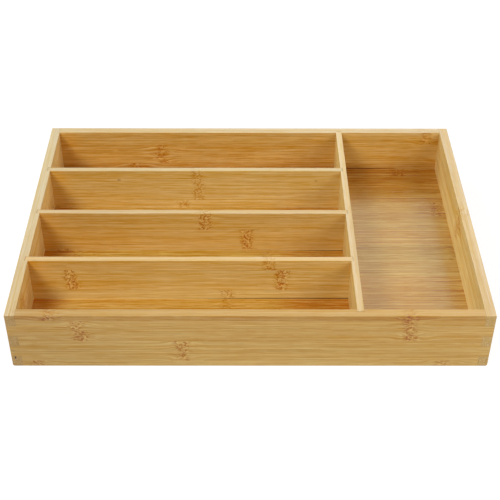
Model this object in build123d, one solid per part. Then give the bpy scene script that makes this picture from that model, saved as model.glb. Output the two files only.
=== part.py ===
from build123d import *
import os

# Bamboo cutlery tray: four finger-jointed walls round a floor panel held in a groove, one cross
# divider that parts a wide compartment off, and long dividers that part the rest into lanes.
# The frame: millimetres, X along the width, Y from front to rear, Z up, origin at the centre of
# the footprint on the surface that the tray stands on.

# Outside size
tray_width = 356.0
tray_depth = 250.0
tray_height = 50.8

# Boards
wall_thickness = 7.5
divider_thickness = 5.0
floor_thickness = 5.0

# Floor panel: how far its underside is above the foot of the walls, how deep the walls are
# grooved for it, and the play at the bottom of the groove, where the panel can swell
floor_rise = 7.0
groove_depth = 4.0
groove_play = 0.5

# Corner joints: the side walls own the bottom finger and every second one above it
finger_count = 5

# Compartments: the wide one at the right, and the dividers between the lanes at its left
wide_bay_width = 88.0
lane_divider_names = ("front_divider", "middle_divider", "rear_divider")

# Housings that the divider ends slide into from above, and the air left at the blind end
wall_housing_depth = 2.5
cross_housing_depth = 1.7
housing_air = 0.3

# Sanded edges: along the top of every board, then round the outside of the glued box, where the
# foot of the side walls is rounded most and that of the front and rear wall is only eased
board_edge_radius = 0.3
rim_edge_radius = 0.4
corner_radius = 0.6
side_foot_radius = 2.5
end_foot_radius = 0.6

# How far a cut runs past the face that it leaves through
overrun = 1.0

inner_width = tray_width - 2 * wall_thickness
inner_depth = tray_depth - 2 * wall_thickness
finger_height = tray_height / finger_count
floor_top = floor_rise + floor_thickness
divider_height = tray_height - floor_top
lane_length = inner_width - wide_bay_width - divider_thickness
lane_count = len(lane_divider_names) + 1
lane_pitch = (inner_depth + divider_thickness) / lane_count

left_inner_x = -inner_width / 2
front_inner_y = -inner_depth / 2
cross_divider_left_x = left_inner_x + lane_length
cross_divider_x = cross_divider_left_x + divider_thickness / 2

# Plan alignments: a solid that stands on its origin, and a section whose inner face is at zero
standing = (Align.CENTER, Align.CENTER, Align.MIN)
section_from_inner_face = (Align.MAX, Align.MIN)
section_about_centre = (Align.CENTER, Align.MIN)


def prism(section, plane, length):
    """Extrudes a section drawn in the plane to half the length on either side of it."""
    return extrude(plane * section, length / 2, both=True)


def upright_outline(width, foot_radius):
    """Outline of the finished box seen level from one side, rounded at the foot and the rim."""
    outline = Rectangle(width, tray_height, align=section_about_centre)
    outline = fillet(outline.vertices().group_by(Axis.Y)[0], foot_radius)
    return fillet(outline.vertices().group_by(Axis.Y)[-1], rim_edge_radius)


def finished_box():
    """The outside of the glued and sanded tray, as one full block."""
    plan = RectangleRounded(tray_width, tray_depth, corner_radius)
    block = extrude(plan, tray_height)
    from_front = upright_outline(tray_width, side_foot_radius)
    from_right = upright_outline(tray_depth, end_foot_radius)
    block &= prism(from_front, Plane.XZ, tray_depth + overrun)
    block &= prism(from_right, Plane.YZ, tray_width + overrun)
    return block


def wall_board(length):
    """A plain wall along X: inner face at Y = 0, thickness towards -Y, inner top edge rounded."""
    section = Rectangle(wall_thickness, tray_height, align=section_from_inner_face)
    inner_top = section.vertices().group_by(Axis.Y)[-1].sort_by(Axis.X)[-1]
    return prism(fillet(inner_top, board_edge_radius), Plane.YZ, length)


def divider_board(length):
    """A divider along X, centred on Y = 0 and standing on Z = 0, both top edges rounded."""
    section = Rectangle(divider_thickness, divider_height, align=section_about_centre)
    top_corners = section.vertices().group_by(Axis.Y)[-1]
    return prism(fillet(top_corners, board_edge_radius), Plane.YZ, length)


def corner_blocks(first_level):
    """Blocks over all four corner squares, one finger high, on every second level."""
    side = wall_thickness + overrun
    blocks = []
    for level in range(first_level, finger_count, 2):
        block = Box(side, side, finger_height, align=standing)
        for side_x in (-1, 1):
            for side_y in (-1, 1):
                x = side_x * (inner_width + side) / 2
                y = side_y * (inner_depth + side) / 2
                blocks.append(Pos(x, y, level * finger_height) * block)
    return blocks


def floor_groove():
    """The space cut into the walls for the edges of the floor panel."""
    width = inner_width + 2 * groove_depth
    depth = inner_depth + 2 * groove_depth
    return Pos(0, 0, floor_rise) * Box(width, depth, floor_thickness, align=standing)


def housing(length):
    """The slot for a divider along X, from the floor panel out through the rim."""
    height = divider_height + overrun
    return Pos(0, 0, floor_top) * Box(length, divider_thickness, height, align=standing)


def cross_housings():
    """The slots in the front and rear wall for the ends of the cross divider."""
    length = inner_depth + 2 * wall_housing_depth
    return Pos(cross_divider_x, 0, 0) * Rot(0, 0, 90) * housing(length)


def lane_divider_y(index):
    """Centre line of a lane divider, counted from the front."""
    return front_inner_y + (index + 1) * lane_pitch - divider_thickness / 2


def lane_housings():
    """The slots for the lane dividers, into the left wall and into the cross divider."""
    length = wall_housing_depth + lane_length + cross_housing_depth
    x = left_inner_x - wall_housing_depth + length / 2
    return [Pos(x, lane_divider_y(i), 0) * housing(length) for i in range(lane_count - 1)]


def make_walls():
    """Front, rear, left and right wall, with their fingers, groove and housings."""
    box = finished_box()
    groove = floor_groove()
    end_wall = wall_board(tray_width)
    side_wall = wall_board(tray_depth)
    front = Pos(0, front_inner_y, 0) * end_wall
    rear = Pos(0, -front_inner_y, 0) * Rot(0, 0, 180) * end_wall
    left = Pos(left_inner_x, 0, 0) * Rot(0, 0, -90) * side_wall
    right = Pos(-left_inner_x, 0, 0) * Rot(0, 0, 90) * side_wall
    side_fingers = corner_blocks(0)
    end_fingers = corner_blocks(1)
    return {
        "front_wall": (front & box) - side_fingers - groove - cross_housings(),
        "rear_wall": (rear & box) - side_fingers - groove - cross_housings(),
        "left_wall": (left & box) - end_fingers - groove - lane_housings(),
        "right_wall": (right & box) - end_fingers - groove,
    }


def make_bottom_panel():
    """The floor of every compartment, one panel whose edges run in the walls' groove."""
    tongue = groove_depth - groove_play
    width = inner_width + 2 * tongue
    depth = inner_depth + 2 * tongue
    return Pos(0, 0, floor_rise) * Box(width, depth, floor_thickness, align=standing)


def make_cross_divider():
    """The divider from the front wall to the rear wall, slotted for the lane dividers."""
    length = inner_depth + 2 * (wall_housing_depth - housing_air)
    board = Pos(cross_divider_x, 0, floor_top) * Rot(0, 0, 90) * divider_board(length)
    return board - lane_housings()


def make_lane_dividers():
    """The dividers from the left wall to the cross divider, one piece between two lanes."""
    length = wall_housing_depth + lane_length + cross_housing_depth - 2 * housing_air
    x = left_inner_x - wall_housing_depth + housing_air + length / 2
    board = divider_board(length)
    return {
        name: Pos(x, lane_divider_y(index), floor_top) * board
        for index, name in enumerate(lane_divider_names)
    }


def make_tray():
    """Every piece of the tray by its name."""
    pieces = make_walls()
    pieces["bottom_panel"] = make_bottom_panel()
    pieces["cross_divider"] = make_cross_divider()
    pieces.update(make_lane_dividers())
    return pieces


os.makedirs("parts", exist_ok=True)
for piece_name, piece in make_tray().items():
    export_step(piece, f"parts/{piece_name}.step")
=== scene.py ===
"""Looks of a bamboo cutlery tray, dressed over its packed boards.

Every board is laminated from bamboo strips, and its finish is worked out in millimetres from the
board's own place: along the grain, across the strips and through the thickness.
"""

import logging
import math
from dataclasses import dataclass
from enum import Enum
from typing import Protocol, Union

import bpy
from mathutils import Matrix, Vector

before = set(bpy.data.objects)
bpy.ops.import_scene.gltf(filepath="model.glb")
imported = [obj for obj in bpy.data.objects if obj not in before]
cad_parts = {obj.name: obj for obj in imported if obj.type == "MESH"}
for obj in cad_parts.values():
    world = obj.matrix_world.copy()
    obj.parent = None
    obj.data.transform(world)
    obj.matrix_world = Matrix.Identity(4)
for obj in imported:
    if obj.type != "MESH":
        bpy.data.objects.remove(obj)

LOG = logging.getLogger("cutlery_tray")

# Millimetres in a metre, and a place in the tray's depth that lies behind every board
MILLIMETRES = 1000.0
BEHIND_THE_TRAY = 1000.0

Colour = tuple[float, float, float]
OpaqueColour = tuple[float, float, float, float]
Span = tuple[float, float]
Number = Union[float, "Field"]


def opaque(colour: Colour) -> OpaqueColour:
    """A linear colour with nothing showing through it."""
    return (*colour, 1.0)


def linear(display: Colour) -> OpaqueColour:
    """Turns a display colour from 0 to 255 into the linear colour of a shader.

    Args:
        display: Red, green and blue as they look on a screen.

    Returns:
        The same colour in linear light, from 0 to 1, and opaque.
    """
    def channel(value: float) -> float:
        """One channel of the curve that screens use."""
        level = value / 255.0
        return level / 12.92 if level <= 0.04045 else ((level + 0.055) / 1.055) ** 2.4

    red, green, blue = (channel(value) for value in display)
    return opaque((red, green, blue))


class Axis(Enum):
    """An axis of the tray's frame, with its place in a vector."""

    X = 0
    Y = 1
    Z = 2


class Field:
    """A number that changes over the surface, written in sums and products like any number."""

    def __init__(self, graph: "Graph", socket: bpy.types.NodeSocket) -> None:
        """Keeps the output socket that carries the number."""
        self.graph = graph
        self.socket = socket

    def __add__(self, other: Number) -> "Field":
        """The sum with a number or field."""
        return self.graph.math("ADD", self, other)

    def __sub__(self, other: Number) -> "Field":
        """The difference from a number or field."""
        return self.graph.math("SUBTRACT", self, other)

    def __rsub__(self, other: float) -> "Field":
        """A number less this field."""
        return self.graph.math("SUBTRACT", other, self)

    def __mul__(self, other: Number) -> "Field":
        """The product with a number or field."""
        return self.graph.math("MULTIPLY", self, other)

    def __abs__(self) -> "Field":
        """The field without its sign."""
        return self.graph.math("ABSOLUTE", self)

    def ramp(self, start: float, end: float) -> "Field":
        """Goes smoothly from 0 at one value of the field to 1 at another.

        Args:
            start: Value at which the result is 0. It may be the larger of the two.
            end: Value at which the result is 1.

        Returns:
            The smooth step as a field.
        """
        made = self.graph.node(
            "ShaderNodeMapRange",
            {0: self, 1: start, 2: end, 3: 0.0, 4: 1.0},
            interpolation_type="SMOOTHSTEP",
        )
        return Field(self.graph, made.outputs[0])

    def larger(self, other: Number) -> "Field":
        """The larger of this and another number or field."""
        return self.graph.math("MAXIMUM", self, other)


class Graph:
    """Adds the nodes of one material or world and wires them."""

    def __init__(self, tree: bpy.types.NodeTree) -> None:
        """Starts from an empty tree."""
        self.tree = tree
        tree.nodes.clear()

    def node(
        self, kind: str, inputs: dict[Union[int, str], object], **settings: object
    ) -> bpy.types.Node:
        """Adds one node.

        Args:
            kind: Blender's name of the node type.
            inputs: Value, socket or field for each input, by name or place.
            **settings: The node's own settings.

        Returns:
            The new node.
        """
        made = self.tree.nodes.new(kind)
        for name, value in settings.items():
            setattr(made, name, value)
        for key, value in inputs.items():
            source = value.socket if isinstance(value, Field) else value
            if isinstance(source, bpy.types.NodeSocket):
                self.tree.links.new(source, made.inputs[key])
            else:
                made.inputs[key].default_value = source
        return made

    def math(self, operation: str, *terms: Number) -> Field:
        """One step of arithmetic on numbers and fields."""
        made = self.node("ShaderNodeMath", dict(enumerate(terms)), operation=operation)
        return Field(self, made.outputs[0])

    def vector(self, x: Number, y: Number, z: Number) -> bpy.types.NodeSocket:
        """Joins three numbers or fields to a vector."""
        return self.node("ShaderNodeCombineXYZ", {0: x, 1: y, 2: z}).outputs[0]

    def split(self, vector: bpy.types.NodeSocket) -> list[Field]:
        """Takes a vector apart into three fields."""
        made = self.node("ShaderNodeSeparateXYZ", {0: vector})
        return [Field(self, output) for output in made.outputs]

    def vectors(self, operation: str, *terms: object) -> bpy.types.NodeSocket:
        """One step of arithmetic on vectors or colours."""
        made = self.node("ShaderNodeVectorMath", dict(enumerate(terms)), operation=operation)
        return made.outputs[0]

    def scaled(self, vector: object, factor: Field) -> bpy.types.NodeSocket:
        """A vector or colour times a field."""
        made = self.node("ShaderNodeVectorMath", {0: vector, "Scale": factor}, operation="SCALE")
        return made.outputs[0]

    def noise(self, along: Number, across: Number, through: Number) -> Field:
        """Soft noise about zero, with one wave to a unit of each coordinate.

        Args:
            along: First coordinate.
            across: Second coordinate.
            through: Third coordinate.

        Returns:
            Noise from about -0.5 to 0.5.
        """
        made = self.node(
            "ShaderNodeTexNoise",
            {"Vector": self.vector(along, across, through), "Scale": 1.0, "Detail": 0.0},
            noise_dimensions="3D",
        )
        return Field(self, made.outputs[0]) - 0.5

    def cells(self, along: Number, across: Number, through: Number) -> list[Field]:
        """Scattered cells with sharp borders, about one to a unit of each coordinate.

        Args:
            along: First coordinate.
            across: Second coordinate.
            through: Third coordinate.

        Returns:
            Three random numbers from -0.5 to 0.5 that are the same all over a cell.
        """
        made = self.node(
            "ShaderNodeTexVoronoi",
            {"Vector": self.vector(along, across, through), "Scale": 1.0},
            voronoi_dimensions="3D",
        )
        return [lot - 0.5 for lot in self.split(made.outputs["Color"])]

    def dice(self, seed: Number) -> list[Field]:
        """Three even random numbers from 0 to 1 that depend on the seed alone."""
        made = self.node("ShaderNodeTexWhiteNoise", {"W": seed}, noise_dimensions="1D")
        return self.split(made.outputs["Color"])

    def blend(self, factor: Number, first: object, second: object) -> bpy.types.NodeSocket:
        """Mixes two colours by a factor."""
        made = self.node("ShaderNodeMix", {0: factor, 6: first, 7: second}, data_type="RGBA")
        return made.outputs[2]


@dataclass(frozen=True)
class Pattern:
    """A pattern in the bamboo, and how strongly it shows in the streaks and their hues.

    Its scale is in waves to a millimetre, along the fibres and across them.
    """

    along: float
    across: float
    streak: float = 0.0
    hue: float = 0.0

    def waves(self, point: list[Field]) -> list[Field]:
        """A point in millimetres, counted in waves of the pattern."""
        along, across, through = point
        return [along * self.along, across * self.across, through * self.across]


@dataclass(frozen=True)
class Fibres:
    """The light and dark fibres, the same on every board.

    The losses say how much weaker they are on end grain, on the strips' edges and in the core of a
    culm node, and the gain how much stronger they are beside one. Each strip is cut from its own
    place in the stem, and the shifts keep strips and boards apart. Lengths are in millimetres.
    """

    bands: Pattern = Pattern(0.003, 0.2, streak=2.25)
    strands: tuple[Pattern, ...] = (
        Pattern(0.004, 1.15, streak=3.4, hue=2.4),
        Pattern(0.028, 1.3, streak=3.4, hue=3.0),
        Pattern(0.085, 1.6, streak=3.0, hue=2.6),
    )
    hairs: Pattern = Pattern(0.15, 2.2, streak=1.6)
    drift: Pattern = Pattern(0.01, 0.1, hue=3.0)
    end_loss: float = 0.15
    edge_loss: float = 0.5
    core_loss: float = 0.4
    node_gain: float = 0.4
    strip_shift: float = 7.3
    stem_length: float = 900.0
    board_shift: float = 53.0


@dataclass(frozen=True)
class CulmNodes:
    """The shape of the culm nodes, the same on every board. Lengths in millimetres.

    A node's core holds its specks, and in the wider stretch round it the fibres swerve. Both are
    spans of the distance from the node's line, from where they start to where they are full.
    """

    core: Span = (7.6, 2.0)
    swerve: Span = (22.0, 4.0)
    wander: Pattern = Pattern(0.02, 0.12)
    wander_by: float = 14.0
    ragged: Pattern = Pattern(0.1, 0.5)
    ragged_by: float = 2.5
    ragged_by_swirl: float = 3.5
    bend: Pattern = Pattern(0.07, 0.2)
    bend_by: float = 3.2
    curl: Pattern = Pattern(0.3, 0.4)
    curl_by: float = 3.0
    bulge: float = 0.22
    edge_turn: Span = (0.5, 0.9)
    edge_loss: float = 0.5


@dataclass(frozen=True)
class Specks:
    """The dashes in a culm node's core, the same on every board.

    Each dash draws a lot from -0.5 to 0.5, and the spans say which lots are dark or pale. The brown
    side is a span of the distance along the board in millimetres.
    """

    across: float = 1.1
    dark_lots: Span = (0.06, -0.26)
    pale_lots: Span = (0.15, 0.35)
    brown_side: Span = (4.0, -6.0)
    pale_gain: float = 2.6
    dark_loss: float = 5.4
    brown_loss: float = 1.1
    core_loss: float = 0.3
    dark_warmth: float = 2.0


@dataclass(frozen=True)
class Surface:
    """Glue, a painted highlight on rounded edges, gloss and relief, the same on every board.
    Lengths in millimetres.

    The turns are spans of how far a face looks in a direction, from 0 to 1. The spreads say how
    much strips differ by chance. The rise and the dips are parts of the relief's height.
    """

    glue_width: float = 0.22
    glue_breaks: Pattern = Pattern(0.03, 3.1)
    glue_kept: Span = (-0.12, 0.12)
    glue_loss: float = 1.8
    highlight_turn: Span = (0.3, 0.65)
    highlight_gain: float = 1.5
    edge_turn: Span = (0.35, 0.85)
    end_turn: Span = (0.5, 0.85)
    tone_spread: float = 0.8
    warmth_spread: float = 1.2
    least_tint: Colour = (0.25, 0.2, 0.1)
    mark: Colour = (82.0, 42.0, 16.0)
    streak_gloss: float = -0.012
    streak_rise: float = 0.02
    speck_dip: float = 0.06
    mark_dip: float = 0.3
    relief_strength: float = 0.35
    relief_height: float = 0.5


@dataclass(frozen=True)
class Strip:
    """One bamboo strip of a board, by its culm nodes and tone.

    A culm node is the knot line of the stem, and the strip shows one in each internode length.
    """

    node_at: float
    internode: float = 244.0
    vigour: float = 1.0
    tone: float = 0.0
    warmth: float = 0.0


@dataclass(frozen=True)
class Lamination:
    """How the strips of a board lie: fibres along one axis, strips side by side on another."""

    grain: Axis
    across: Axis
    first_edge: float
    strips: tuple[Strip, ...]
    strip_width: float = 20.0

    @property
    def through(self) -> Axis:
        """The axis of the board's thickness."""
        return next(axis for axis in Axis if axis not in (self.grain, self.across))


@dataclass(frozen=True)
class Tones:
    """Display colours of one board: its wide face, the sawn edge of its strips, its end grain. The
    edge colours are less saturated than the faces, partly for the side grain and partly as painted
    sheen on the rims.
    """

    face: Colour
    edge: Colour
    end: Colour


class Mark(Protocol):
    """Something small that darkens a board at a known place."""

    def darkness(self, place: list[Field], graph: Graph) -> Field:
        """How dark the mark is over the board, from 0 to 1."""


def in_front_of(rearmost: float, y: Field, border: Span = (0.4, 0.2)) -> Field:
    """Keeps a mark in front of a place in the tray's depth.

    Args:
        rearmost: The place in millimetres.
        y: Where the surface point is.
        border: How far behind the place the result is 0, and up to where it is still 1.

    Returns:
        1 in front of the place and 0 behind it.
    """
    none, full = border
    return y.ramp(rearmost + none, rearmost + full)


@dataclass(frozen=True)
class FingerJoints:
    """Glue lines between the fingers at the four corners, and where the walls meet on the rim.

    Lengths are in millimetres. The spans at the foot and the rim are parts of a finger's height:
    the first ends the flat lines there, and the second tells the top of the rim from its sides.
    """

    half_width: float
    half_depth: float
    finger: float
    levels: int = 5
    line: float = 0.16
    corner: Span = (-0.1, 0.1)
    foot_and_rim: Span = (0.3, 0.4)
    rim: Span = (0.02, 0.01)
    break_waves: float = 0.3
    kept: Span = (-0.25, 0.1)
    depth: float = 0.55

    def darkness(self, place: list[Field], graph: Graph) -> Field:
        """Draws the lines.

        Args:
            place: The surface point in millimetres.
            graph: Graph of the material.

        Returns:
            Darkness from 0 to 1.
        """
        x, y, z = place
        past_x = abs(x) - self.half_width
        past_y = abs(y) - self.half_depth
        beyond_x, beyond_y = past_x.ramp(*self.corner), past_y.ramp(*self.corner)
        level = z * (1.0 / self.finger)
        half_levels = 0.5 * self.levels
        starts, full = self.foot_and_rim
        between = abs(level - half_levels).ramp(half_levels - starts, half_levels - full)
        starts, full = self.rim
        on_rim = level.ramp(self.levels - starts, self.levels - full)
        odd = graph.math("PINGPONG", graph.math("FLOOR", level), 1.0)
        nearest = graph.math("PINGPONG", level, 0.5) * self.finger
        flat_lines = nearest.ramp(self.line, 0.0) * (beyond_x * beyond_y) * between
        end_lines = abs(past_x).ramp(self.line, 0.0) * beyond_y * (1.0 - odd).larger(on_rim)
        side_lines = abs(past_y).ramp(self.line, 0.0) * beyond_x * odd * (1.0 - on_rim)
        broken = graph.noise(*(axis * self.break_waves for axis in place)).ramp(*self.kept)
        return flat_lines.larger(end_lines).larger(side_lines) * broken * self.depth


@dataclass(frozen=True)
class FootShadowLine:
    """A painted shadow line at the foot of a board, where it meets the floor panel, wider at one
    end.

    Lengths are in millimetres. Nothing behind the rearmost place is marked, so a wall can keep its
    outer face clean.
    """

    foot: float
    starts: float
    widest: float
    height: float = 1.0
    rearmost: float = BEHIND_THE_TRAY
    sharp_part: float = 0.6
    wander_waves: float = 0.02
    wander_by: float = 0.3
    depth: float = 0.9

    def darkness(self, place: list[Field], graph: Graph) -> Field:
        """Draws a line at the foot that grows along X.

        Args:
            place: The surface point in millimetres.
            graph: Graph of the material.

        Returns:
            Darkness from 0 to 1.
        """
        x, y, z = place
        line = (z - self.foot).ramp(self.height, self.sharp_part * self.height)
        line = line * in_front_of(self.rearmost, y)
        grown = x.ramp(self.starts, self.widest)
        wander = graph.noise(x * self.wander_waves, 0.0, 0.0) * self.wander_by
        return line * (grown + wander).ramp(0.0, 1.0) * self.depth


@dataclass(frozen=True)
class Spot:
    """A small hole, crack or pin knot on the faces of a board that look to the front or rear.

    Lengths are in millimetres. Nothing behind the rearmost place is marked.
    """

    x: float
    z: float
    half_width: float
    half_height: float
    depth: float = 1.0
    rearmost: float = BEHIND_THE_TRAY
    border: Span = (1.5, 0.4)

    def darkness(self, place: list[Field], graph: Graph) -> Field:
        """Draws the spot.

        Args:
            place: The surface point in millimetres.
            graph: Graph of the material; not used.

        Returns:
            Darkness from 0 to 1.
        """
        x, y, z = place
        off_x = abs(x - self.x) * (1.0 / self.half_width)
        off_z = abs(z - self.z) * (1.0 / self.half_height)
        distance = off_x * off_x + off_z * off_z
        return distance.ramp(*self.border) * in_front_of(self.rearmost, y) * self.depth


@dataclass(frozen=True)
class Shade:
    """Painted light or shade: a slow change of a board's colour along one axis, none at the start,
    full at the end.
    """

    axis: Axis
    start: float
    end: float
    tone: float
    warmth: float = 0.0
    spares_rim: bool = False

    def amount(self, place: list[Field], on_rim: Field) -> Field:
        """How much of the change a point has, from 0 to 1."""
        reached = place[self.axis.value].ramp(self.start, self.end)
        return reached * (1.0 - on_rim) if self.spares_rim else reached


@dataclass(frozen=True)
class Bamboo:
    """Satin lacquered bamboo for one board.

    The tints say how red, green and blue answer to one unit of each pattern: streaks and hues from
    fibre to fibre, tone and warmth from strip to strip and from the painted light and shade of the
    shades.
    """

    name: str
    lamination: Lamination
    tones: Tones
    seed: float
    marks: tuple[Mark, ...] = ()
    shades: tuple[Shade, ...] = ()
    streak: float = 1.0
    band: float = 1.0
    speck: float = 1.0
    speck_length: float = 2.8
    swirl: float = 1.0
    roughness: float = 0.36
    sheen: float = 0.5
    sheen_tint: Colour = (1.0, 1.0, 1.0)
    streak_tint: Colour = (0.042, 0.088, 0.25)
    hue_tint: Colour = (0.019, 0.013, -0.024)
    tone_tint: Colour = (0.042, 0.074, 0.135)
    warmth_tint: Colour = (0.019, 0.0, -0.033)
    fibres: Fibres = Fibres()
    culm_nodes: CulmNodes = CulmNodes()
    specks: Specks = Specks()
    surface: Surface = Surface()

    def material(self) -> bpy.types.Material:
        """Makes the board's material."""
        made = bpy.data.materials.new(self.name)
        made.use_nodes = True
        BambooPainter(self, Graph(made.node_tree)).paint()
        return made


class BambooPainter:
    """Works out the colour, gloss and relief of one bamboo finish."""

    def __init__(self, finish: Bamboo, graph: Graph) -> None:
        """Reads the surface point and the strip that it lies on.

        Args:
            finish: The finish to paint.
            graph: Graph of its material.
        """
        self.finish = finish
        self.graph = graph
        layout = finish.lamination
        texture = graph.node("ShaderNodeTexCoord", {})
        point = graph.vectors("MULTIPLY", texture.outputs["Object"], (MILLIMETRES,) * 3)
        self.place = graph.split(point)
        normal = graph.split(texture.outputs["Normal"])
        self.along = self.place[layout.grain.value]
        self.across = self.place[layout.across.value]
        self.through = self.place[layout.through.value]
        self.faces_along = abs(normal[layout.grain.value])
        self.faces_across = abs(normal[layout.across.value])
        self.faces_through = abs(normal[layout.through.value])
        counted = (self.across - layout.first_edge) * (1.0 / layout.strip_width)
        self.strip = graph.math("FLOOR", counted)
        self.in_strip = (counted - self.strip) * layout.strip_width
        self.lots = graph.dice(self.strip + finish.seed)
        strips = layout.strips
        flags = [graph.math("COMPARE", self.strip, float(i), 0.5) for i in range(len(strips))]
        self.node_at = self.chosen(flags, [strip.node_at for strip in strips])
        self.internode = self.chosen(flags, [strip.internode for strip in strips])
        self.vigour = self.chosen(flags, [strip.vigour for strip in strips])
        self.tone = self.chosen(flags, [strip.tone for strip in strips])
        self.warmth = self.chosen(flags, [strip.warmth for strip in strips])

    def chosen(self, flags: list[Field], values: list[float]) -> Field:
        """Picks the value of the strip that the point lies on.

        Args:
            flags: One field for each strip, 1 on the strip and 0 elsewhere.
            values: One number for each strip.

        Returns:
            The number of the strip at hand.
        """
        total = flags[0] * values[0]
        for flag, value in zip(flags[1:], values[1:]):
            total = self.graph.math("MULTIPLY_ADD", flag, value, total)
        return total

    def culm_node(self) -> tuple[Field, Field, Field]:
        """Finds the culm node next to the point.

        Returns:
            The signed distance from its wandering line, how much the point lies in its core, and
            how much in the wider stretch where the fibres swerve.
        """
        graph, shape = self.graph, self.finish.culm_nodes
        half = self.internode * 0.5
        offset = graph.math("WRAP", self.along - self.node_at, half, half * -1.0)
        point = [self.along, self.across, self.through]
        wander = graph.noise(*shape.wander.waves(point)) * shape.wander_by * self.finish.swirl
        ragged_by = shape.ragged_by + shape.ragged_by_swirl * self.finish.swirl
        offset = offset + wander + graph.noise(*shape.ragged.waves(point)) * ragged_by
        near = abs(offset)
        vigour = self.vigour * (1.0 - self.faces_across.ramp(*shape.edge_turn) * shape.edge_loss)
        return offset, near.ramp(*shape.core) * vigour, near.ramp(*shape.swerve) * vigour

    def along_the_fibres(self, core: Field, swerve: Field) -> list[Field]:
        """Follows the fibres to the point, each strip from its own place in the stem.

        Args:
            core: How much the point lies in a culm node's core.
            swerve: How much the fibres swerve there.

        Returns:
            The place along the fibres, across them and through the board, in millimetres.
        """
        graph, shape, fibres = self.graph, self.finish.culm_nodes, self.finish.fibres
        in_stem = self.lots[0] * fibres.stem_length + self.finish.seed * fibres.board_shift
        along = self.along + in_stem
        point = [along, self.across, self.through]
        bend = graph.noise(*shape.bend.waves(point)) * swerve * shape.bend_by
        half_strip = 0.5 * self.finish.lamination.strip_width
        bulge = (self.in_strip - half_strip) * swerve * shape.bulge
        curl = graph.noise(*shape.curl.waves(point)) * core * shape.curl_by
        across = self.across + bend - bulge + curl + self.strip * fibres.strip_shift
        return [along, across, self.through + curl]

    def streaks_and_hues(
        self, point: list[Field], core: Field, swerve: Field
    ) -> tuple[Field, Field]:
        """Adds up the patterns of the fibres.

        Args:
            point: The place in the bamboo, following the fibres.
            core: How much the point lies in a culm node's core.
            swerve: How much the fibres swerve there.

        Returns:
            How pale the fibres are at the point, and how they differ in hue.
        """
        graph, fibres, finish = self.graph, self.finish.fibres, self.finish
        bands, hairs, drift = fibres.bands, fibres.hairs, fibres.drift
        streaks = graph.noise(*bands.waves(point)) * (bands.streak * finish.band)
        streaks = streaks + graph.noise(*hairs.waves(point)) * (hairs.streak * finish.streak)
        hues = graph.noise(*drift.waves(point)) * drift.hue
        for strand in fibres.strands:
            pale, reddish, _ = graph.cells(*strand.waves(point))
            streaks = streaks + pale * (strand.streak * finish.streak)
            hues = hues + reddish * (strand.hue * finish.streak)
        on_ends = 1.0 - self.faces_along * fibres.end_loss
        on_edges = 1.0 - self.faces_across * fibres.edge_loss
        by_node = (swerve * fibres.node_gain + 1.0) * (1.0 - core * fibres.core_loss)
        return streaks * (on_ends * on_edges) * by_node, hues

    def dashes(self, point: list[Field], offset: Field, core: Field) -> tuple[Field, Field]:
        """Draws the specks of a culm node, over its browner side.

        Args:
            point: The place in the bamboo, following the fibres.
            offset: The signed distance from the node's line.
            core: How much the point lies in the node's core.

        Returns:
            How dark the specks are, and the change of tone from the node as a whole.
        """
        specks = self.finish.specks
        dash = Pattern(1.0 / self.finish.speck_length, specks.across)
        lot = self.graph.cells(*dash.waves(point))[0]
        dark = lot.ramp(*specks.dark_lots) * core
        pale = lot.ramp(*specks.pale_lots) * core
        brown = offset.ramp(*specks.brown_side) * core
        losses = dark * specks.dark_loss + brown * specks.brown_loss + core * specks.core_loss
        return dark, (pale * specks.pale_gain - losses) * self.finish.speck

    def glue_lines(self, along: Field) -> Field:
        """The broken lines of glue between the strips, from 0 to 1."""
        graph, surface = self.graph, self.finish.surface
        to_next = self.finish.lamination.strip_width - self.in_strip
        line = graph.math("MINIMUM", to_next, self.in_strip).ramp(surface.glue_width, 0.0)
        breaks = surface.glue_breaks
        lots = graph.noise(along * breaks.along, self.strip * breaks.across, 0.0)
        return line * lots.ramp(*surface.glue_kept)

    def tone_and_warmth(self, dark: Field, speckled: Field, glue: Field) -> tuple[Field, Field]:
        """Adds up what changes the colour more slowly than the fibres, the painted light and shade
        too.

        Args:
            dark: How dark the specks are.
            speckled: The change of tone from a culm node.
            glue: The glue lines.

        Returns:
            How pale and how warm the bamboo is at the point.
        """
        surface = self.finish.surface
        # Where the surface turns between the wide face and a strip's edge it is made paler: a
        # painted highlight on rounded edges.
        edge_highlight = self.graph.math("MINIMUM", self.faces_across, self.faces_through)
        tone = speckled - glue * surface.glue_loss
        tone = tone + edge_highlight.ramp(*surface.highlight_turn) * surface.highlight_gain
        tone = tone + self.tone + (self.lots[1] - 0.5) * surface.tone_spread
        warmth = dark * self.finish.specks.dark_warmth + self.warmth
        warmth = warmth + (self.lots[2] - 0.5) * surface.warmth_spread
        # The shades paint light and shade into the tone and warmth.
        for shade in self.finish.shades:
            amount = shade.amount(self.place, self.faces_across)
            tone = tone + amount * shade.tone
            warmth = warmth + amount * shade.warmth
        return tone, warmth

    def marked(self) -> Number:
        """How dark the board's own marks and painted foot shadow lines are at the point, from 0 to
        1.
        """
        darkness = 0.0
        for mark in self.finish.marks:
            darkness = mark.darkness(self.place, self.graph).larger(darkness)
        return darkness

    def colour(self, patterns: list[tuple[Colour, Field]]) -> bpy.types.NodeSocket:
        """Tints the colour of the face, edge or end grain.

        Args:
            patterns: For each pattern how red, green and blue answer to it, and its amount.

        Returns:
            The colour of the clean bamboo.
        """
        graph, tones, surface = self.graph, self.finish.tones, self.finish.surface
        tint = (1.0, 1.0, 1.0)
        for answer, amount in patterns:
            tint = graph.vectors("ADD", graph.scaled(answer, amount), tint)
        tint = graph.vectors("MAXIMUM", tint, surface.least_tint)
        on_edge = self.faces_across.ramp(*surface.edge_turn)
        base = graph.blend(on_edge, linear(tones.face), linear(tones.edge))
        base = graph.blend(self.faces_along.ramp(*surface.end_turn), base, linear(tones.end))
        return graph.vectors("MULTIPLY", base, tint)

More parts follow.
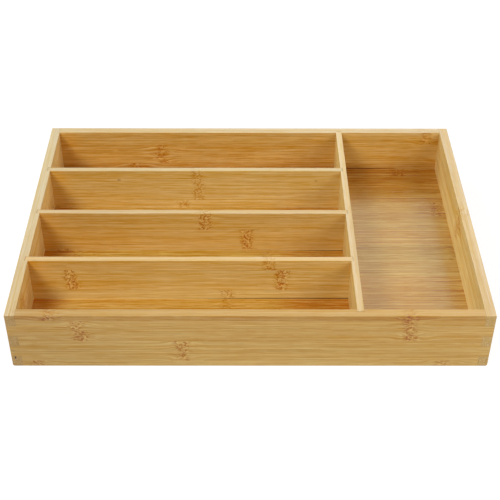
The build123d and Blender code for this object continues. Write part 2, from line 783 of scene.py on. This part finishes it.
    def relief(self, streaks: Field, dark: Field, darkness: Number) -> bpy.types.NodeSocket:
        """Raises the fibres a little and sinks the specks and marks.

        Args:
            streaks: How pale the fibres are.
            dark: How dark the specks are.
            darkness: How dark the marks are.

        Returns:
            The normal of the surface.
        """
        surface = self.finish.surface
        height = streaks * surface.streak_rise - dark * surface.speck_dip
        inputs = {
            "Height": height - darkness * surface.mark_dip,
            "Strength": surface.relief_strength,
            "Distance": surface.relief_height / MILLIMETRES,
        }
        return self.graph.node("ShaderNodeBump", inputs).outputs[0]

    def paint(self) -> None:
        """Wires the whole material."""
        graph, finish, surface = self.graph, self.finish, self.finish.surface
        offset, core, swerve = self.culm_node()
        swerve = swerve * finish.swirl
        point = self.along_the_fibres(core, swerve)
        streaks, hues = self.streaks_and_hues(point, core, swerve)
        dark, speckled = self.dashes(point, offset, core)
        tone, warmth = self.tone_and_warmth(dark, speckled, self.glue_lines(point[0]))
        clean = self.colour([
            (finish.streak_tint, streaks), (finish.hue_tint, hues),
            (finish.tone_tint, tone), (finish.warmth_tint, warmth),
        ])
        # Marks darken towards the mark colour; the painted foot shadow lines are among them.
        darkness = self.marked()
        shader = graph.node(
            "ShaderNodeBsdfPrincipled",
            {
                "Base Color": graph.blend(darkness, clean, linear(surface.mark)),
                "Roughness": streaks * surface.streak_gloss + finish.roughness,
                "Specular IOR Level": finish.sheen,
                "Specular Tint": opaque(finish.sheen_tint),
                "Normal": self.relief(streaks, dark, darkness),
            },
        )
        graph.node("ShaderNodeOutputMaterial", {"Surface": shader.outputs[0]})


def dress(node: str, finish: Bamboo) -> None:
    """Gives a packed board its finish.

    Args:
        node: Name of the board.
        finish: Its bamboo.
    """
    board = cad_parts[node]
    material = finish.material()
    for slot in board.material_slots:
        slot.material = material
    LOG.info("%s dressed with %s", node, material.name)


@dataclass(frozen=True)
class Walls:
    """The four walls of the box, finger-jointed at the corners. Lengths in millimetres."""

    inner_half_width: float = 170.5
    inner_half_depth: float = 117.5
    finger: float = 10.16
    panel_top: float = 12.0

    def dress(self) -> None:
        """Gives each wall its bamboo."""
        joints = FingerJoints(self.inner_half_width, self.inner_half_depth, self.finger)
        front = Lamination(Axis.X, Axis.Z, first_edge=-14.2, strips=(
            Strip(-157.0, 298.0, tone=1.2, warmth=-1.0), Strip(-50.0, tone=0.2, warmth=-0.5),
            Strip(-126.8), Strip(-146.2, 265.0, vigour=0.9, tone=-3.0),
        ))
        rear = Lamination(Axis.X, Axis.Z, first_edge=-2.2, strips=(
            Strip(-104.1, 290.0, vigour=0.9, tone=-2.5), Strip(-79.5, 262.0),
            Strip(159.2, 340.0, vigour=0.9, tone=0.3),
        ))
        left = Lamination(Axis.Y, Axis.Z, first_edge=-14.0, strips=(
            Strip(-30.0), Strip(70.0), Strip(-96.0), Strip(-121.0, vigour=0.4),
        ))
        right = Lamination(Axis.Y, Axis.Z, first_edge=-16.0, strips=(
            Strip(-60.0), Strip(-118.0), Strip(1.6, 260.0, vigour=1.4), Strip(0.4, 260.0),
        ))
        end = (202.0, 166.0, 98.0)
        front_tones = Tones((186.0, 145.5, 71.0), (205.5, 169.5, 99.0), end)
        rear_tones = Tones((203.0, 157.0, 79.5), (208.0, 180.0, 128.0), end)
        left_tones = Tones((231.0, 193.0, 118.5), (203.5, 178.5, 129.0), (168.5, 137.0, 79.5))
        right_tones = Tones((225.0, 195.0, 121.0), (209.0, 179.5, 125.5), (175.5, 141.5, 79.5))
        pit = Spot(-174.9, 9.0, half_width=0.6, half_height=1.7, rearmost=0.0)
        crack = Spot(-176.0, 16.0, half_width=2.0, half_height=0.3, depth=0.5)
        # A painted shadow line along the rear wall's foot.
        foot_shadow = FootShadowLine(self.panel_top, 165.0, 95.0, height=0.9, rearmost=self.inner_half_depth)
        # Redder at the left ends of the lanes, rim left out: painted shade.
        painted_shade_left_corner = Shade(Axis.X, -148.0, -167.0, tone=0.2, warmth=3.2, spares_rim=True)
        # Darker and greyer towards the left end: painted shade.
        painted_shade_left = Shade(Axis.X, -60.0, -178.0, tone=-1.7, warmth=-2.2)
        # Darker towards the right end: painted shade.
        painted_shade_right = Shade(Axis.X, 60.0, 170.0, tone=-0.8)
        # Paler and cooler towards the rear: painted sheen.
        painted_sheen_back = Shade(Axis.Y, -110.0, 110.0, tone=1.6, warmth=-1.0)
        # Darker towards the front: painted shade.
        painted_shade_front = Shade(Axis.Y, 0.0, -120.0, tone=-1.3)
        # Paler towards the front, rim left out: painted light.
        painted_light_front = Shade(Axis.Y, 0.0, -110.0, tone=2.0, spares_rim=True)
        # Paler, warmer end grain at the side walls' rear ends, rim left out: painted light.
        painted_light_rear_end = Shade(Axis.Y, 124.2, 124.8, tone=1.5, warmth=4.5, spares_rim=True)
        dress("front_wall", Bamboo(
            "front_wall_finish", front, front_tones, seed=3.0,
            marks=(joints, crack), shades=(painted_shade_left,),
            streak=0.92, band=0.6, speck=1.2, speck_length=2.2,
        ))
        dress("rear_wall", Bamboo(
            "rear_wall_finish", rear, rear_tones, seed=11.0,
            marks=(joints, foot_shadow), shades=(painted_shade_right, painted_shade_left_corner), streak=1.1,
        ))
        dress("left_wall", Bamboo(
            "left_wall_finish", left, left_tones, seed=19.0,
            marks=(joints, pit), shades=(painted_sheen_back, painted_shade_front, painted_light_rear_end),
        ))
        dress("right_wall", Bamboo(
            "right_wall_finish", right, right_tones, seed=27.0,
            marks=(joints,), shades=(painted_shade_front, painted_light_front, painted_light_rear_end),
        ))


@dataclass(frozen=True)
class FloorPanel:
    """The panel that closes the tray from below. Lengths in millimetres."""

    first_edge: float = -134.5

    def dress(self) -> None:
        """Gives the panel its bamboo."""
        layout = Lamination(Axis.X, Axis.Y, self.first_edge, strips=(
            Strip(60.0), Strip(-60.0), Strip(20.0), Strip(-19.8, vigour=0.5), Strip(-66.0),
            Strip(70.0, warmth=-1.5), Strip(-141.8, 156.1, vigour=0.7, tone=0.3, warmth=-3.2),
            Strip(-40.0, tone=0.4), Strip(35.0, tone=0.9, warmth=-1.5),
            Strip(163.3, 340.0, tone=-0.4, warmth=-0.5), Strip(-20.0, tone=-1.2),
            # The last two strips, by the rear wall, are darker and redder, partly their own tone
            # and partly painted shade where the rear wall shades the floor.
            Strip(55.0, tone=-1.8, warmth=2.4), Strip(135.4, 320.0, tone=-1.8, warmth=2.4),
        ))
        tones = Tones((183.0, 133.0, 51.0), (188.0, 138.0, 70.0), (180.0, 140.0, 84.0))
        shades = (
            # Paler on the lane floors: painted light.
            Shade(Axis.X, 90.0, 76.0, tone=3.8),
            # Darker and redder at the lanes' right ends: painted shade.
            Shade(Axis.X, 12.0, 38.0, tone=-4.8, warmth=4.5),
            # Paler and cooler in the wide bay: painted light and sheen.
            Shade(Axis.X, 76.0, 90.0, tone=4.2, warmth=-6.2),
            # Darker and redder at the lanes' left ends: painted shade.
            Shade(Axis.X, -138.0, -164.0, tone=-4.0, warmth=9.0),
            # Paler and warmer from the bay's middle leftwards: painted light.
            Shade(Axis.X, 128.0, 96.0, tone=0.5, warmth=1.5),
        )
        dress("bottom_panel", Bamboo(
            "bottom_panel_finish", layout, tones, seed=35.0, shades=shades,
            streak=1.5, swirl=0.5, roughness=0.22, sheen=0.8, sheen_tint=(1.0, 1.0, 0.74),
            streak_tint=(0.048, 0.108, 0.4), hue_tint=(0.011, 0.022, -0.018),
            warmth_tint=(0.019, -0.006, -0.033),
        ))


@dataclass(frozen=True)
class Dividers:
    """The cross divider and the three lane dividers. Lengths in millimetres."""

    panel_top: float = 12.0

    def dress(self) -> None:
        """Gives each divider its bamboo."""
        end = (190.0, 150.0, 92.0)
        front_tones = Tones((211.0, 172.5, 96.0), (209.0, 179.5, 125.0), end)
        middle_tones = Tones((204.5, 163.5, 88.5), (206.5, 177.0, 123.0), end)
        rear_tones = Tones((211.5, 174.0, 98.5), (207.5, 183.0, 132.0), end)
        cross_tones = Tones((229.0, 200.5, 125.0), (215.0, 186.0, 131.5), end)
        cross = Lamination(Axis.Y, Axis.Z, first_edge=-8.0, strips=(
            Strip(-80.0), Strip(30.0), Strip(-122.0, vigour=0.5),
        ))
        front = Lamination(Axis.X, Axis.Z, first_edge=1.3, strips=(
            Strip(-18.2, vigour=0.8, tone=0.8, warmth=-2.0), Strip(-139.3, 164.0),
            Strip(14.4, vigour=0.8, tone=-0.2, warmth=2.4),
        ))
        middle = Lamination(Axis.X, Axis.Z, first_edge=-6.0, strips=(
            Strip(90.0), Strip(-2.4), Strip(-36.7),
        ))
        rear = Lamination(Axis.X, Axis.Z, first_edge=0.2, strips=(
            Strip(-57.4, vigour=0.7), Strip(-43.9, vigour=0.65), Strip(-45.0, vigour=0.6),
        ))
        # Painted shadow lines along the dividers' feet.
        front_foot_shadow = FootShadowLine(self.panel_top, -110.0, 50.0)
        middle_foot_shadow = FootShadowLine(self.panel_top, -10.0, 80.0, height=0.6)
        knots = (
            Spot(-112.3, 41.3, half_width=1.7, half_height=1.0, depth=0.36),
            Spot(56.9, 40.5, half_width=1.5, half_height=1.0, depth=0.26),
        )
        # Darker and redder at the lanes' left ends, rim left out: painted shade.
        painted_shade_left_ends = Shade(Axis.X, -148.0, -167.0, tone=-0.6, warmth=3.8, spares_rim=True)
        # Darker and warmer towards the left, rim left out: painted shade.
        painted_warm_shade_left = Shade(Axis.X, -60.0, -130.0, tone=-1.2, warmth=1.2, spares_rim=True)
        # Darker towards the left, rim left out: painted shade.
        painted_shade_left = Shade(Axis.X, -60.0, -140.0, tone=-1.3, warmth=0.4, spares_rim=True)
        # Paler and cooler towards the rear: painted sheen.
        painted_sheen_back = Shade(Axis.Y, -60.0, 110.0, tone=1.2, warmth=-1.0)
        plans = (
            ("cross_divider", cross, cross_tones, 43.0, (), (painted_sheen_back,)),
            ("front_divider", front, front_tones, 51.0, (front_foot_shadow,), (painted_shade_left_ends, painted_warm_shade_left)),
            ("middle_divider", middle, middle_tones, 59.0, (middle_foot_shadow,), (painted_shade_left_ends, painted_shade_left)),
            ("rear_divider", rear, rear_tones, 67.0, knots, (painted_shade_left_ends, painted_shade_left)),
        )
        for node, layout, tones, seed, marks, shades in plans:
            dress(node, Bamboo(
                f"{node}_finish", layout, tones, seed, marks, shades,
                streak=0.88, band=0.5, speck=1.4, speck_length=1.2, swirl=0.25,
            ))


@dataclass(frozen=True)
class PhotoCamera:
    """The photograph's camera. Angles in degrees, lengths in metres, lens in millimetres."""

    place: tuple[float, float, float] = (-0.003937, -0.692257, 0.573024)
    pitch_down: float = 39.086151
    yaw_right: float = 0.335237
    roll: float = 0.259582
    lens: float = 76.8613
    sensor: float = 36.0

    def build(self) -> None:
        """Places the camera and makes it the scene's own."""
        turn = (
            Matrix.Rotation(math.radians(-self.yaw_right), 4, "Z")
            @ Matrix.Rotation(math.radians(90.0 - self.pitch_down), 4, "X")
            @ Matrix.Rotation(math.radians(self.roll), 4, "Z")
        )
        data = bpy.data.cameras.new("photo_camera")
        data.lens = self.lens
        data.sensor_width = self.sensor
        camera = bpy.data.objects.new("photo_camera", data)
        camera.matrix_world = Matrix.Translation(self.place) @ turn
        bpy.context.scene.collection.objects.link(camera)
        bpy.context.scene.camera = camera


@dataclass(frozen=True)
class Softbox:
    """A square lamp that faces the tray. Lengths in metres, power in watts."""

    name: str
    place: tuple[float, float, float]
    width: float
    power: float

    def build(self) -> None:
        """Hangs the lamp."""
        data = bpy.data.lights.new(self.name, "AREA")
        data.shape = "SQUARE"
        data.size = self.width
        data.energy = self.power
        lamp = bpy.data.objects.new(self.name, data)
        lamp.rotation_euler = (-Vector(self.place)).to_track_quat("-Z", "Y").to_euler()
        lamp.location = self.place
        bpy.context.scene.collection.objects.link(lamp)


@dataclass(frozen=True)
class Studio:
    """A white table and surround, with soft lamps. Lengths in metres.

    Near the tray the table shows a share of its own lit surface, so that the tray casts a shadow,
    and further off it shows plain white.
    """

    floor_width: float = 12.0
    floor_colour: Colour = (0.9, 0.9, 0.9)
    floor_share: float = 0.2
    floor_share_reach: Span = (1.5, 0.6)
    floor_glow: float = 1.08
    surround_gloss: float = 0.8
    lamps: tuple[Softbox, ...] = (
        Softbox("left_softbox", (-1.08, -1.3, 1.7), width=0.86, power=36.4),
        Softbox("right_softbox", (0.76, -0.65, 0.67), width=0.6, power=6.0),
        Softbox("back_left_softbox", (-0.9, 0.8, 0.9), width=0.6, power=7.6),
        Softbox("back_right_softbox", (0.9, 0.8, 0.9), width=0.6, power=6.4),
        Softbox("back_softbox", (0.24, 1.12, 0.96), width=1.0, power=3.3),
    )

    def build(self) -> None:
        """Makes the floor, the surround and the lamps."""
        self.build_floor()
        self.build_world()
        for lamp in self.lamps:
            lamp.build()
        bpy.context.scene.view_settings.view_transform = "Standard"

    def seen(self, graph: Graph, gloss: float = 1.0) -> Field:
        """How much a ray sees of the white around the tray.

        Args:
            graph: Graph of the floor or world.
            gloss: What a reflection sees of it.

        Returns:
            1 for a ray from the camera or through glass, the gloss share for a reflection, else 0.
        """
        path = graph.node("ShaderNodeLightPath", {})
        camera, reflection, glass = (
            Field(graph, path.outputs[name])
            for name in ("Is Camera Ray", "Is Glossy Ray", "Is Transmission Ray")
        )
        return camera.larger(glass).larger(reflection * gloss)

    def build_floor(self) -> None:
        """Lays the table: it takes the tray's shadow and shows white around it."""
        bpy.ops.mesh.primitive_plane_add(size=self.floor_width)
        floor = bpy.context.object
        floor.name = "floor"
        material = bpy.data.materials.new("white_table")
        material.use_nodes = True
        graph = Graph(material.node_tree)
        lit = {"Color": opaque(self.floor_colour)}
        table = graph.node("ShaderNodeBsdfDiffuse", lit).outputs[0]
        glow = graph.node("ShaderNodeEmission", {"Strength": self.floor_glow}).outputs[0]
        place = graph.split(graph.node("ShaderNodeTexCoord", {}).outputs["Object"])
        far = graph.math("SQRT", place[0] * place[0] + place[1] * place[1])
        share = far.ramp(*self.floor_share_reach) * self.floor_share
        white = graph.node("ShaderNodeMixShader", {0: share, 1: glow, 2: table}).outputs[0]
        looked_at = graph.node("ShaderNodeMixShader", {0: self.seen(graph), 1: table, 2: white})
        below = graph.node("ShaderNodeNewGeometry", {}).outputs["Backfacing"]
        clear = graph.node("ShaderNodeBsdfTransparent", {}).outputs[0]
        one_sided = graph.node("ShaderNodeMixShader", {0: below, 1: looked_at.outputs[0], 2: clear})
        graph.node("ShaderNodeOutputMaterial", {"Surface": one_sided.outputs[0]})
        floor.data.materials.append(material)

    def build_world(self) -> None:
        """Makes the surround: white where it is seen, and no light elsewhere."""
        world = bpy.data.worlds.new("studio")
        world.use_nodes = True
        bpy.context.scene.world = world
        graph = Graph(world.node_tree)
        strength = self.seen(graph, self.surround_gloss)
        white = {"Color": opaque((1.0, 1.0, 1.0)), "Strength": strength}
        light = graph.node("ShaderNodeBackground", white).outputs[0]
        graph.node("ShaderNodeOutputWorld", {"Surface": light})


def main() -> None:
    """Builds the scene."""
    logging.basicConfig(level=logging.INFO, format="%(name)s: %(message)s")
    bpy.ops.object.select_all(action="DESELECT")
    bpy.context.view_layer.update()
    PhotoCamera().build()
    Studio().build()
    for part in (Walls(), FloorPanel(), Dividers()):
        part.dress()
    LOG.info("size written")


if __name__ == "__main__":
    main()
